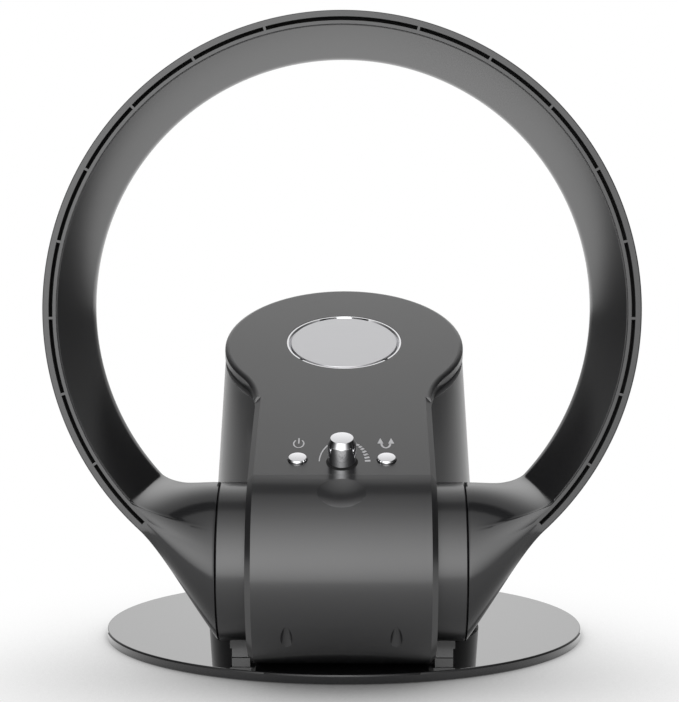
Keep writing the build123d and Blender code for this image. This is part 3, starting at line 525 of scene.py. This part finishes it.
@dataclass
class AirRing:
    """Air ring with its slotted face, tapering inner wall and two horn legs, in millimetres and degrees.

    The root values say where rows leave the ring, from its top, and the turn values where they reach the hub.
    """

    centre_z: float
    front_y: float
    back_y: float
    radius: float
    rear_radius: float
    hub_y: float
    hub_z: float
    hub_radius: float
    hub_face: float
    bulge: float = 1.6
    rear_round: float = 8.0
    lip_inset: float = 8.5
    lip_round: Pair = (0.3, 0.4)
    border: float = 0.05
    rim_round: float = 0.6
    liner_front_inset: float = 8.8
    liner_rear_inset: float = 20.7
    liner_taper: float = 0.2035
    flare: float = 17.0
    plate: float = 2.5
    plate_gap: float = 0.1
    ledge: Pair = (0.8, 0.02)
    ledge_drop: float = 0.3
    slot_inset: float = 5.0
    slot_width: float = 2.4
    slot_depth: float = 9.0
    slot_pitch: float = 15.2
    slot_end: float = 0.04
    bridge: float = 1.5
    bridge_skin: float = 0.02
    bridge_sink: float = 0.05
    bridges_each_side: int = 9
    root_outer: float = 137.2
    root_rim: float = 137.0
    root_inner_front: float = 131.6
    root_inner_rear: float = 132.4
    root_fan: Pair = (0.3, 0.8)
    last_column: float = 0.9985
    turn_back: float = 50.0
    turn_ledge: Triple = (146.0, 146.4, 146.8)
    turn_lip: float = 147.5
    turn_border: float = 149.0
    turn_face: float = 163.0
    turn_slot: Pair = (184.0, 204.0)
    turn_slot_floor: float = 0.5
    turn_rim: float = 240.0
    turn_wall: float = 246.0
    turn_tail: float = 300.0
    hub_seam: float = 0.6
    hub_edge: float = 0.4
    hub_edge_share: float = 0.3
    hub_land: float = 3.0
    hub_bore: float = 37.0
    hub_narrowing: float = 0.5
    hub_flare: float = 0.72
    leave_pull: Pair = (0.45, 0.7)
    arrive_pull: Pair = (1.25, 0.9)
    ring_steps: int = 300
    horn_steps: int = 40
    inner_steps: int = 44
    outer_steps: int = 34
    border_steps: int = 14

    @classmethod
    def from_frame(cls) -> "AirRing":
        """Reads the ring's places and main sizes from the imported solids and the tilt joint.

        Returns:
            The ring, whose hubs are as wide as the collars and an open seam away from them.
        """
        _, hub_y, hub_z = map(millimetres, joint("ring_tilt")["pos_m"])
        liner_low, liner_high = (list(map(millimetres, corner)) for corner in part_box("ring_liner"))
        collar_low, collar_high = (list(map(millimetres, corner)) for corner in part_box("right_collar"))
        return cls(
            centre_z=liner_high[2] - liner_high[0],
            front_y=liner_low[1] - cls.plate - cls.plate_gap,
            back_y=liner_high[1],
            radius=millimetres(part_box("ring_shell")[1][0]) - cls.bulge,
            rear_radius=liner_high[0],
            hub_y=hub_y,
            hub_z=hub_z,
            hub_radius=(collar_high[2] - collar_low[2]) / 2,
            hub_face=collar_high[0] + cls.hub_seam,
        )

    def __post_init__(self) -> None:
        """Works out the depths where plate and rear edge begin, and the radii inside the outer lip."""
        self.step_y = self.front_y + self.plate + self.plate_gap
        self.join_y = self.back_y - self.rear_round
        self.lip_inner = self.radius - self.lip_inset
        self.liner_front = self.radius - self.liner_front_inset
        self.liner_rear = self.radius - self.liner_rear_inset
        self.slot_radius = self.radius - self.slot_inset

    def section(self) -> dict[str, Array]:
        """Works out the ring's closed section, from the inner wall's back round the front to the back edge.

        Returns:
            Each row's radius r, depth y, root and hub angles, and whether it lies in the slot.
        """
        front, rear, out, rim = self.root_inner_front, self.root_inner_rear, self.root_outer, self.root_rim
        face, lip, tail_y = self.front_y, self.lip_inner, self.join_y
        slot_in, slot_out = self.slot_radius - self.slot_width / 2, self.slot_radius + self.slot_width / 2
        floor = face + self.slot_depth
        edge = self.rim_round
        across, deep = self.lip_round
        wall = self.arc((self.radius, face + edge), (self.radius + self.bulge, (face + tail_y) / 2),
                        (self.rear_radius, tail_y))
        back = self.arc((self.rear_radius, tail_y), ((self.rear_radius + self.liner_rear) / 2, self.back_y),
                        (self.liner_rear, tail_y))

        def rounding(share: float) -> Pair:
            """Places a point of the quarter circle between face and outer wall."""
            turn = share * math.pi / 2
            return self.radius - edge + edge * math.sin(turn), face + edge - edge * math.cos(turn)

        ledge_in, ledge_middle, ledge_out = self.turn_ledge
        turn_in, turn_out = self.turn_slot
        corners = (
            Corner(self.liner_rear, tail_y, rear, self.turn_back, self.inner_steps, bend=self.inner_wall),
            Corner(self.liner_front, self.step_y, front, ledge_in, steps=2),
            Corner(lip + self.ledge[0], self.step_y - self.ledge[1], front, ledge_middle, steps=2),
            Corner(lip, self.step_y - self.ledge_drop, front, ledge_out, steps=3),
            Corner(lip, face + deep, front + self.root_fan[0], self.turn_lip, steps=3),
            Corner(lip + across, face, front + self.root_fan[1], self.turn_border, self.border_steps),
            Corner(lip + across + self.border, face, out, self.turn_face, steps=6),
            Corner(slot_in, face, out, turn_in, steps=2, in_slot=True),
            Corner(slot_in, floor, out, turn_in + self.turn_slot_floor, steps=3, in_slot=True),
            Corner(slot_out, floor, out, turn_out - self.turn_slot_floor, steps=2, in_slot=True),
            Corner(slot_out, face, out, turn_out, steps=8),
            Corner(self.radius - edge, face, rim, self.turn_rim, steps=4, bend=rounding),
            Corner(self.radius, face + edge, rim, self.turn_wall, self.outer_steps, bend=wall),
            Corner(self.rear_radius, tail_y, rim, self.turn_tail, self.outer_steps, bend=back),
            Corner(self.liner_rear, tail_y, rear, self.turn_back + 360),
        )
        rows: list[tuple[float, float, float, float, bool]] = []
        for here, ahead in zip(corners, corners[1:]):
            for t in np.linspace(0, 1, here.steps, endpoint=False):
                straight = here.radius + (ahead.radius - here.radius) * t, here.y + (ahead.y - here.y) * t
                place = here.bend(t) if here.bend else straight
                angles = here.root + (ahead.root - here.root) * t, here.hub + (ahead.hub - here.hub) * t
                rows.append((*place, *angles, here.in_slot))
        table = np.array(rows)
        return dict(zip(("r", "y", "root", "hub", "slot"), table.T))

    def inner_wall(self, share: float) -> Pair:
        """Places a point of the inner wall: a straight cone from the front that flares out again at the back.

        Radius = front radius less the cone's taper, plus a parabola along the flare that brings the back edge
        to its own radius.

        Args:
            share: Share of the way from the back to the front.

        Returns:
            Radius and depth.
        """
        y = self.join_y + (self.step_y - self.join_y) * share
        cone = self.liner_front - (y - self.step_y) * self.liner_taper
        short = self.liner_rear - (self.liner_front - (self.join_y - self.step_y) * self.liner_taper)
        behind = max(0.0, y - self.join_y + self.flare) / self.flare
        return cone + short * behind**2, y

    @staticmethod
    def arc(first: Pair, middle: Pair, last: Pair) -> Callable[[float], Pair]:
        """Makes the circle arc through three points.

        Args:
            first: Start of the arc.
            middle: A point on the arc.
            last: End of the arc.

        Returns:
            A function from a share between 0 and 1 to a point on the arc.
        """
        a, b, c = (complex(*p) for p in (first, middle, last))
        w = (c - a) / (b - a)
        centre = (b - a) * (w - abs(w) ** 2) / (2j * w.imag) + a
        start, via, stop = (math.atan2((p - centre).imag, (p - centre).real) for p in (a, b, c))
        sweep = (stop - start) % math.tau
        if (via - start) % math.tau > sweep:
            sweep -= math.tau
        radius = abs(a - centre)

        def place(t: float) -> Pair:
            """Returns the point at share t."""
            turn = start + sweep * t
            return centre.real + radius * math.cos(turn), centre.imag + radius * math.sin(turn)

        return place

    def ring_points(self, r: Array, y: Array, angle: Array) -> Array:
        """Places section rows round the ring: x = r sin a, z = centre + r cos a.

        Args:
            r: Radii in mm.
            y: Depths in mm.
            angle: Angles from the top in degrees, positive to the right.

        Returns:
            Points in mm with a last axis of 3.
        """
        turn = np.radians(angle)
        x, z = r * np.sin(turn), self.centre_z + r * np.cos(turn)
        return np.stack([x, np.broadcast_to(y, turn.shape), z], -1)

    def horn(self, shape: dict[str, Array], r: Array, y: Array) -> Array:
        """Works out the right leg: each row is a cubic from the ring's skin to the hub circle.

        The cubic p(s) = h00 p0 + h10 d0 + h01 p1 + h11 d1 leaves along the ring's own turn. It arrives along
        the hub's axis at the top, and flares downwards at the bottom. Across the lip's border the start turns
        from straight at the hub to along the ring, so that face and inner side part without a fold.

        Args:
            shape: The section, as section() gives it.
            r: Radii of the root.
            y: Depths of the root.

        Returns:
            Points in mm, rows by steps by 3, without the root itself.
        """
        root, turn = np.radians(shape["root"]), np.radians(shape["hub"])
        p0 = self.ring_points(r, y, shape["root"])
        p1 = np.stack([np.full_like(turn, self.hub_face + self.hub_edge),
                       self.hub_y + self.hub_radius * np.cos(turn),
                       self.hub_z + self.hub_radius * np.sin(turn)], -1)
        along = np.stack([np.cos(root), np.zeros_like(root), -np.sin(root)], -1)
        reach = p1 - p0
        length = np.linalg.norm(reach, axis=1)[:, None]
        share = ((shape["hub"] - self.turn_border) / (self.turn_face - self.turn_border))[:, None]
        in_border = (share > 0) & (share < 1)
        leave = np.where(in_border, reach / length * (1 - share) + along * share, along)
        low = ((1 - np.sin(turn)) / 2)[:, None]
        arrive = np.concatenate([self.hub_narrowing * low - 1, 0 * low, -self.hub_flare * low], 1)
        arrive /= np.linalg.norm(arrive, axis=1)[:, None]
        start_pull, end_pull = (
            (top + (bottom - top) * low) * length for top, bottom in (self.leave_pull, self.arrive_pull)
        )
        s = np.linspace(0, 1, self.horn_steps + 1)[1:][None, :, None]
        h00, h10 = 2 * s**3 - 3 * s**2 + 1, s**3 - 2 * s**2 + s
        h01, h11 = -2 * s**3 + 3 * s**2, s**3 - s**2
        return (h00 * p0[:, None] + h10 * (leave * start_pull)[:, None]
                + h01 * p1[:, None] + h11 * (arrive * end_pull)[:, None])

    def hub_end(self, shape: dict[str, Array]) -> Array:
        """Works out the small edge and the face that close the leg towards the collar.

        Args:
            shape: The section.

        Returns:
            Points in mm, rows by 4 by 3.
        """
        turn = np.radians(shape["hub"])[:, None]
        inset = self.hub_edge_share * self.hub_edge
        radius = np.array([[self.hub_radius - inset, self.hub_radius - self.hub_edge,
                            self.hub_radius - self.hub_land, self.hub_bore]])
        x = self.hub_face + np.array([[inset, 0, 0, 0]])
        return np.stack([np.broadcast_to(x, (len(turn), 4)),
                         self.hub_y + radius * np.cos(turn),
                         self.hub_z + radius * np.sin(turn)], -1)

    def build(self) -> bpy.types.Object:
        """Builds ring and legs as one skin, with the slot's walls and floor in a near-black finish that
        paints the slot's shade.

        The slot ends before the legs, so there its rows lie flat in the face, and the ledge's rows run
        straight up to the lip.

        Returns:
            The skin.
        """
        shape = self.section()
        in_slot = shape["slot"] > 0
        last = self.bridges_each_side * self.slot_pitch
        ends = np.array([last / self.root_outer, (last - self.slot_end) / self.root_outer, self.last_column])
        even = np.linspace(-1, 1, self.ring_steps + 1)[1:-1]
        shares = np.unique(np.concatenate([even, ends, -ends]))
        open_slot = np.abs(shares) < (last - self.slot_end / 2) / self.root_outer
        y = np.where(in_slot[:, None] & ~open_slot[None], self.front_y, shape["y"][:, None])
        r = np.broadcast_to(shape["r"][:, None], y.shape)
        body = self.ring_points(r, y, shares[None] * shape["root"][:, None])

        plain_r, plain_y = shape["r"].copy(), shape["y"].copy()
        plain_y[in_slot] = self.front_y
        first = self.turn_ledge[0]
        ledge = (shape["hub"] >= first) & (shape["hub"] < self.turn_lip)
        t = (shape["hub"][ledge] - first) / (self.turn_lip - first)
        plain_r[ledge] = self.liner_front + (self.lip_inner - self.liner_front) * t
        plain_y[ledge] = self.step_y + (self.front_y + self.lip_round[1] - self.step_y) * t
        root = self.ring_points(plain_r, plain_y, shape["root"])[:, None]
        right = np.concatenate([root, self.horn(shape, plain_r, plain_y), self.hub_end(shape)], 1)
        left = right[:, ::-1] * np.array([-1, 1, 1])
        skin = np.concatenate([left, body, right], 1) * MM

        rows, columns = skin.shape[:2]
        dark_column = np.zeros(columns - 1, bool)
        dark_column[left.shape[1] : left.shape[1] + len(shares)] = open_slot
        dark = (in_slot[:, None] & dark_column[None]).reshape(-1)
        # the open slot's walls and floor take the near-black finish, painted shade for the slot's depth
        piece = build_piece("air_ring_skin", skin, grid_faces(rows, columns, closed_rows=True),
                            (Finish.RING_ABS, Finish.DUCT_BLACK), Body.RING, dark)
        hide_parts("ring_shell", "ring_liner")
        return piece

    def build_bridges(self) -> bpy.types.Object:
        """Builds the bridges that part the slot, each a small block flush with the ring's face.

        Returns:
            One mesh with all bridges.
        """
        one_side = np.arange(1, self.bridges_each_side)
        steps = np.concatenate([one_side, -one_side])
        angle = np.radians(steps * self.slot_pitch)[:, None, None]
        half, skin = self.bridge / 2, self.bridge_skin
        across = np.array([-half, -half, half, half])[None, :, None]
        depth = np.array([self.plate, skin, skin, self.plate])[None, :, None]
        reach = self.slot_width / 2 + self.bridge_sink
        radius = self.slot_radius + np.array([-reach, reach])[None, None, :]
        x = radius * np.sin(angle) + across * np.cos(angle)
        z = self.centre_z + radius * np.cos(angle) - across * np.sin(angle)
        y = np.broadcast_to(self.front_y + depth, x.shape)
        points = np.stack([x, y, z], -1) * MM
        faces = repeated(grid_faces(*x.shape[1:]), len(steps))
        return build_piece("slot_bridges", points, faces, (Finish.RING_ABS,), Body.RING)


# ---- deck and controls
@dataclass(frozen=True)
class Deck:
    """Sloped control deck: places on it are given by x and the distance up the slope from the knob's axis.

    foot is where the knob's axis meets the deck, in mm, and normal the unit vector out of the deck.
    """

    foot: Array
    normal: Array

    @classmethod
    def from_frame(cls) -> "Deck":
        """Reads place and slope from the knob's joint, whose axis stands square on the deck.

        Returns:
            The deck.
        """
        knob = joint("knob_turn")
        return cls(np.array(knob["pos_m"]) / MM, -np.array(knob["axis"]))

    @property
    def across(self) -> Array:
        """Unit vector to the right."""
        return np.array([1.0, 0.0, 0.0])

    @property
    def up(self) -> Array:
        """Unit vector up the slope."""
        return np.cross(self.normal, self.across)

    def place(self, x: Array | float, station: Array | float, lift: float = 0.0) -> Array:
        """Turns deck coordinates into the fan's frame.

        Args:
            x: Distance from the middle plane in mm.
            station: Distance up the slope from the knob's axis in mm.
            lift: Height above the deck in mm.

        Returns:
            Points in metres.
        """
        x, station = np.broadcast_arrays(np.asarray(x, float), np.asarray(station, float))
        out = self.foot + x[..., None] * self.across + station[..., None] * self.up + lift * self.normal
        return out * MM


@dataclass
class Controls:
    """Rotary knob, two push buttons, and the prints beside them, in millimetres and degrees on the deck."""

    deck: Deck
    knob_radius: float = 8.8
    knob_height: float = 17.3
    knob_gap: float = 0.6
    knob_chamfer: Pair = (1.7, 3.6)
    knob_rounds: Triple = (0.3, 0.5, 0.4)
    seal_inner: float = 5.0
    seal_outer: float = 9.9
    seal_rise: float = 0.3
    seal_round: float = 0.15
    button_station: float = 3.0
    button_radius: float = 6.0
    button_rise: float = 1.8
    button_depth: float = 4.5
    button_chamfer: Pair = (0.55, 0.8)
    button_crown: float = 0.12
    button_rounds: Pair = (0.25, 0.3)
    turned_steps: int = 128
    turned_crease: float = 40.0
    print_lift: float = 0.03
    print_stretch: float = 1.85
    line: float = 0.85
    line_steps: int = 8
    arc_steps: int = 48
    symbol_station: float = 23.0
    symbol_drop: float = 0.6
    power_shift: float = 0.2
    power_radius: float = 3.2
    power_arc: Pair = (128.0, 412.0)
    power_stretch: float = 1.55
    power_bar: float = 6.0
    swing_shift: float = -0.3
    swing_radius: float = 2.75
    swing_arc: Pair = (168.0, 372.0)
    swing_line: float = 1.275
    head_offset: float = 3.4
    head_span: Pair = (-0.4, 6.2)
    head_width: Pair = (3.8, 0.1)
    dial_radius: float = 14.2
    dial_arc: Pair = (178.0, 118.0)
    dial_line: Pair = (0.6, 1.1)
    tick_count: int = 8
    tick_steps: int = 4
    tick_arc: Pair = (3.0, 57.0)
    tick_length: Pair = (3.4, 1.0)
    tick_line: float = 1.9

    @property
    def button_offset(self) -> float:
        """Distance of each button's axis from the middle plane."""
        low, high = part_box("swing_button")
        return millimetres((low[0] + high[0]) / 2)

    def turned(
        self, name: str, profile: Sequence[Pair], place: Pair, body: Body, finish: Finish,
        node: str | None = None,
    ) -> bpy.types.Object:
        """Builds a turned piece that stands square on the deck.

        Args:
            name: Name of the piece.
            profile: Radius and height pairs in mm.
            place: Place across and up the deck in mm.
            body: The body that it rides on.
            finish: Its finish.
            node: The CAD node that it stands for, if any.

        Returns:
            The piece.
        """
        deck = self.deck
        metres = [(r * MM, h * MM) for r, h in profile]
        points, faces = lathe(metres, deck.place(*place), deck.across, deck.normal, self.turned_steps)
        piece = build_piece(name, points, faces, (finish,), body, crease=self.turned_crease)
        if node:
            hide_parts(node)
        return piece

    def build_knob(self) -> None:
        """Builds the knob with its long chamfer, and round its foot a dark seal ring whose near-black finish
        paints the shade under the knob's gap.
        """
        r, top, foot = self.knob_radius, self.knob_height, self.knob_gap
        narrowing, height = self.knob_chamfer
        foot_round, shoulder_round, crown_round = self.knob_rounds
        body = rounded([(0, foot, 0), (r, foot, foot_round), (r, top - height, shoulder_round),
                        (r - narrowing, top, crown_round), (0, top, 0)])
        self.turned("knob_body", body, (0, 0), Body.KNOB, Finish.CHROME, "speed_knob")
        near, far, low, high = self.seal_inner, self.seal_outer, self.print_lift, self.seal_rise
        seal = rounded([(near, low, 0), (near, high, 0), (far, high, self.seal_round), (far, low, 0),
                        (near, low, 0)])
        # near-black seal ring round the knob's foot: painted shade under the knob's gap
        self.turned("knob_seal_and_shade", seal, (0, 0), Body.HOUSING, Finish.DUCT_BLACK)

    def build_buttons(self) -> None:
        """Builds the two bright buttons with softly crowned tops."""
        r, top, foot = self.button_radius, self.button_rise, -self.button_depth
        narrowing, height = self.button_chamfer
        side_round, top_round = self.button_rounds
        profile = rounded([(r, foot, 0), (r, top - height, side_round), (r - narrowing, top, top_round),
                           (0, top + self.button_crown, 0)])
        for side, body, node in ((Side.LEFT, Body.POWER_KEY, "power_button"),
                                 (Side.RIGHT, Body.SWING_KEY, "swing_button")):
            place = side.value * self.button_offset, self.button_station
            name = f"{body.value}_cap"
            self.turned(name, [(0, foot), *profile], place, body, Finish.CHROME, node)

    def strip(self, name: str, centre: Array, width: Array | float) -> bpy.types.Object:
        """Prints a line of some width on the deck.

        The strip is the centre line moved to both sides along its own normal by half the width.

        Args:
            name: Name of the print.
            centre: Points of the line as x and station in mm, N by 2, or K lines as K by N by 2.
            width: Width at each point in mm.

        Returns:
            The print.
        """
        lines = centre.reshape((-1,) + centre.shape[-2:])
        count = lines.shape[1]
        ahead = np.gradient(lines, axis=1)
        ahead /= np.linalg.norm(ahead, axis=2, keepdims=True)
        side = np.stack([-ahead[..., 1], ahead[..., 0]], -1)
        half = np.broadcast_to(np.asarray(width, float) / 2, (count,))[None, :, None]
        edges = np.stack([lines - side * half, lines + side * half], 2)
        points = self.deck.place(edges[..., 0], edges[..., 1], self.print_lift)
        faces = repeated(grid_faces(count, 2), len(lines))
        return build_piece(name, points, faces, (Finish.PRINT,), Body.HOUSING)

    def upright(self, x: float, low: float, high: float) -> Array:
        """Works out a straight line up the slope.

        Args:
            x: Place across the deck.
            low: Station of its lower end.
            high: Station of its upper end.

        Returns:
            Points as x and station, line_steps by 2.
        """
        return np.stack([np.full(self.line_steps, x), np.linspace(low, high, self.line_steps)], -1)

    def oval(self, place: Pair, radius: float, turn: Pair, stretch: float) -> Array:
        """Works out an arc that is stretched up the slope, so that it looks round from the front.

        Args:
            place: Centre across and up the deck.
            radius: Radius across the deck in mm.
            turn: First and last angle in degrees, 0 to the right and 90 up the slope.
            stretch: Height up the slope over width.

        Returns:
            Points as x and station, arc_steps by 2.
        """
        x, station = place
        angle = np.radians(np.linspace(*turn, self.arc_steps))
        return np.stack([x + radius * np.cos(angle), station + stretch * radius * np.sin(angle)], -1)

    def build_prints(self) -> None:
        """Prints the on-off sign, the two-way sign and the dial's scale."""
        middle = self.symbol_station - self.symbol_drop
        left = self.power_shift - self.button_offset
        ring = self.oval((left, middle), self.power_radius, self.power_arc, self.power_stretch)
        self.strip("print_power_circle", ring, self.line)
        bar = self.upright(left, middle, self.symbol_station + self.power_bar)
        self.strip("print_power_bar", bar, self.line)

        right = self.swing_shift + self.button_offset
        turn = self.oval((right, middle), self.swing_radius, self.swing_arc, self.print_stretch)
        self.strip("print_swing_turn", turn, self.swing_line)
        low, high = (self.symbol_station + span for span in self.head_span)
        width = np.linspace(*self.head_width, self.line_steps)
        for side in (Side.LEFT, Side.RIGHT):
            head = self.upright(right + side.value * self.head_offset, low, high)
            self.strip(f"print_swing_head_{side.name.lower()}", head, width)

        scale = self.oval((0, 0), self.dial_radius, self.dial_arc, self.print_stretch)
        self.strip("print_dial_low", scale, np.linspace(*self.dial_line, len(scale)))
        angle = np.radians(np.linspace(*self.tick_arc, self.tick_count))[:, None]
        length = np.linspace(*self.tick_length, self.tick_count)[:, None]
        radius = self.dial_radius + length * np.linspace(0, 1, self.tick_steps)
        ticks = np.stack([radius * np.cos(angle), self.print_stretch * radius * np.sin(angle)], -1)
        self.strip("print_dial_ticks", ticks, self.tick_line)


# ---- studio
@dataclass(frozen=True)
class Glow:
    """A soft bright patch of the far room: radiance = level * exp(sharpness * (cos(angle off it) - 1)).

    turn is its place in degrees from straight before the fan, positive towards +X, and rise is its height in
    degrees above the floor. A radiance of 1 is white.
    """

    turn: float
    rise: float
    level: float
    sharpness: float

    def ahead(self) -> Triple:
        """Returns the unit vector from the fan to the patch's middle."""
        turn, rise = math.radians(self.turn), math.radians(self.rise)
        return math.sin(turn) * math.cos(rise), -math.cos(turn) * math.cos(rise), math.sin(rise)


@dataclass
class Studio:
    """White room: pale floor, a room that glows softly in four patches, and the camera, in metres.

    The floor ends a little before the fan, as a table does, so that the front mirrors the window below the
    horizon too. shade_lean tips the floor's painted shadow forwards.
    """

    lens: float = 94.9
    sensor: float = 36.0
    camera_place: Triple = (0.0107, -1.290, 0.266)
    camera_turn: Triple = (86.94, 0.0, 0.616)
    window: Glow = Glow(-8, 4, 3.9, 7.0)
    skylight: Glow = Glow(-6, 42, 1.7, 9.0)
    ceiling: Glow = Glow(0, 85, 0.6, 5.0)
    back_wall: Glow = Glow(180, 32, 1.4, 8.0)
    paper: str = "#e6e6e6"
    floor_half: float = 8.0
    floor_front: float = -0.48
    shade_reach: float = 0.2
    shade_lean: float = 0.6
    shade_white: float = 0.97
    shade_samples: int = 12

    def build_camera(self) -> None:
        """Makes the camera at the photograph's viewing angle."""
        data = bpy.data.cameras.new("camera")
        data.lens, data.sensor_width = self.lens, self.sensor
        camera = bpy.data.objects.new("camera", data)
        camera.location = self.camera_place
        camera.rotation_euler = tuple(math.radians(a) for a in self.camera_turn)
        bpy.context.scene.collection.objects.link(camera)
        bpy.context.scene.camera = camera

    @staticmethod
    def seen_plainly(tree: Tree, kinds: Sequence[str]) -> Socket:
        """Adds the share of rays that see a background's own colour.

        Args:
            tree: The node tree.
            kinds: Names of the light path's outputs that count.

        Returns:
            A socket that is 1 for such rays, else 0.
        """
        path = add_node(tree, "LightPath")
        share = path.outputs[kinds[0]]
        for kind in kinds[1:]:
            inputs = {0: share, 1: path.outputs[kind]}
            share = add_node(tree, "Math", {"operation": "MAXIMUM"}, inputs).outputs[0]
        return share

    def build_world(self) -> None:
        """Shows the room white, and lights the fan by the sum of the room's soft patches."""
        world = bpy.data.worlds.new("studio")
        bpy.context.scene.world = world
        world.use_nodes = True
        tree = world.node_tree
        tree.nodes.clear()
        place = add_node(tree, "TexCoord")
        room: Socket | float = 0.0
        for glow in (self.window, self.skylight, self.ceiling, self.back_wall):
            near = add_node(tree, "VectorMath", {"operation": "DOT_PRODUCT"},
                            {0: place.outputs["Generated"], 1: glow.ahead()})
            power = add_node(tree, "Math", {"operation": "MULTIPLY_ADD"},
                             {0: near.outputs["Value"], 1: glow.sharpness,
                              2: math.log(glow.level) - glow.sharpness})
            patch = add_node(tree, "Math", {"operation": "EXPONENT"}, {0: power.outputs[0]})
            total = add_node(tree, "Math", {"operation": "ADD"}, {0: room, 1: patch.outputs[0]})
            room = total.outputs[0]
        plain = self.seen_plainly(tree, ("Is Camera Ray", "Is Transmission Ray"))
        level = add_node(tree, "Mix", None, {"Factor": plain, 2: room, 3: 1.0})
        sky = add_node(tree, "Background", None, {"Color": linear("#ffffff"), "Strength": level.outputs[0]})
        add_node(tree, "OutputWorld", None, {"Surface": sky.outputs["Background"]})

    def floor_material(self) -> bpy.types.Material:
        """Makes white paper whose glow is darkened near the fan by ambient occlusion, a painted soft shadow,
        and is clear from beneath, to show the feet.

        Returns:
            The material.
        """
        material, tree = fresh_material("floor_paper")
        # painted shadow: ambient occlusion, leaned forwards, darkens the floor's glow near the fan
        lean = add_node(tree, "CombineXYZ", None, {1: self.shade_lean, 2: 1.0})
        near = add_node(tree, "AmbientOcclusion", {"samples": self.shade_samples},
                        {"Distance": self.shade_reach, "Normal": lean.outputs[0]})
        shade = add_node(tree, "MapRange", None, {"Value": near.outputs["AO"], "From Max": self.shade_white})
        glow = add_node(tree, "Emission", None,
                        {"Color": linear("#ffffff"), "Strength": shade.outputs["Result"]})
        paper = add_node(tree, "BsdfDiffuse", None, {"Color": linear(self.paper)})
        plain = self.seen_plainly(tree, ("Is Camera Ray", "Is Glossy Ray", "Is Transmission Ray"))
        above = add_node(tree, "MixShader", None, {0: plain, 1: paper.outputs[0], 2: glow.outputs[0]})
        side = add_node(tree, "NewGeometry")
        clear = add_node(tree, "BsdfTransparent")
        whole = add_node(tree, "MixShader", None,
                         {0: side.outputs["Backfacing"], 1: above.outputs[0], 2: clear.outputs[0]})
        add_node(tree, "OutputMaterial", None, {"Surface": whole.outputs[0]})
        return material

    def build_floor(self) -> None:
        """Lays the floor under the fan."""
        half, front = self.floor_half, self.floor_front
        mesh = bpy.data.meshes.new("floor")
        outline = [(-half, front, 0), (half, front, 0), (half, half, 0), (-half, half, 0)]
        mesh.from_pydata(outline, [], [(0, 1, 2, 3)])
        mesh.materials.append(self.floor_material())
        floor = bpy.data.objects.new("floor", mesh)
        bpy.context.scene.collection.objects.link(floor)
        floor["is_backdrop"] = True

    def build(self) -> None:
        """Builds camera, world and floor."""
        bpy.context.scene.view_settings.view_transform = "Standard"
        self.build_camera()
        self.build_world()
        self.build_floor()


# ---- whole
def dress_nodes() -> None:
    """Gives each CAD piece its finish."""
    for finish, names in NODES_OF_FINISH.items():
        for name in names:
            mesh = frame["nodes"][name].data
            mesh.materials.clear()
            mesh.materials.append(finish.material())
        log.info("%s: %s", finish.value.name, ", ".join(names))


def corners() -> list[list[float]]:
    """Returns the lowest and highest corner of all that is shown."""
    return [list(map(float, c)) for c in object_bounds()]


def main() -> None:
    """Builds every class in order."""
    logging.basicConfig(level=logging.INFO, format="%(name)s %(message)s")
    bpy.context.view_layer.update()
    Studio().build()
    dress_nodes()
    ring = AirRing.from_frame()
    ring.build()
    ring.build_bridges()
    controls = Controls(Deck.from_frame())
    controls.build_knob()
    controls.build_buttons()
    controls.build_prints()


if __name__ == "__main__":
    main()
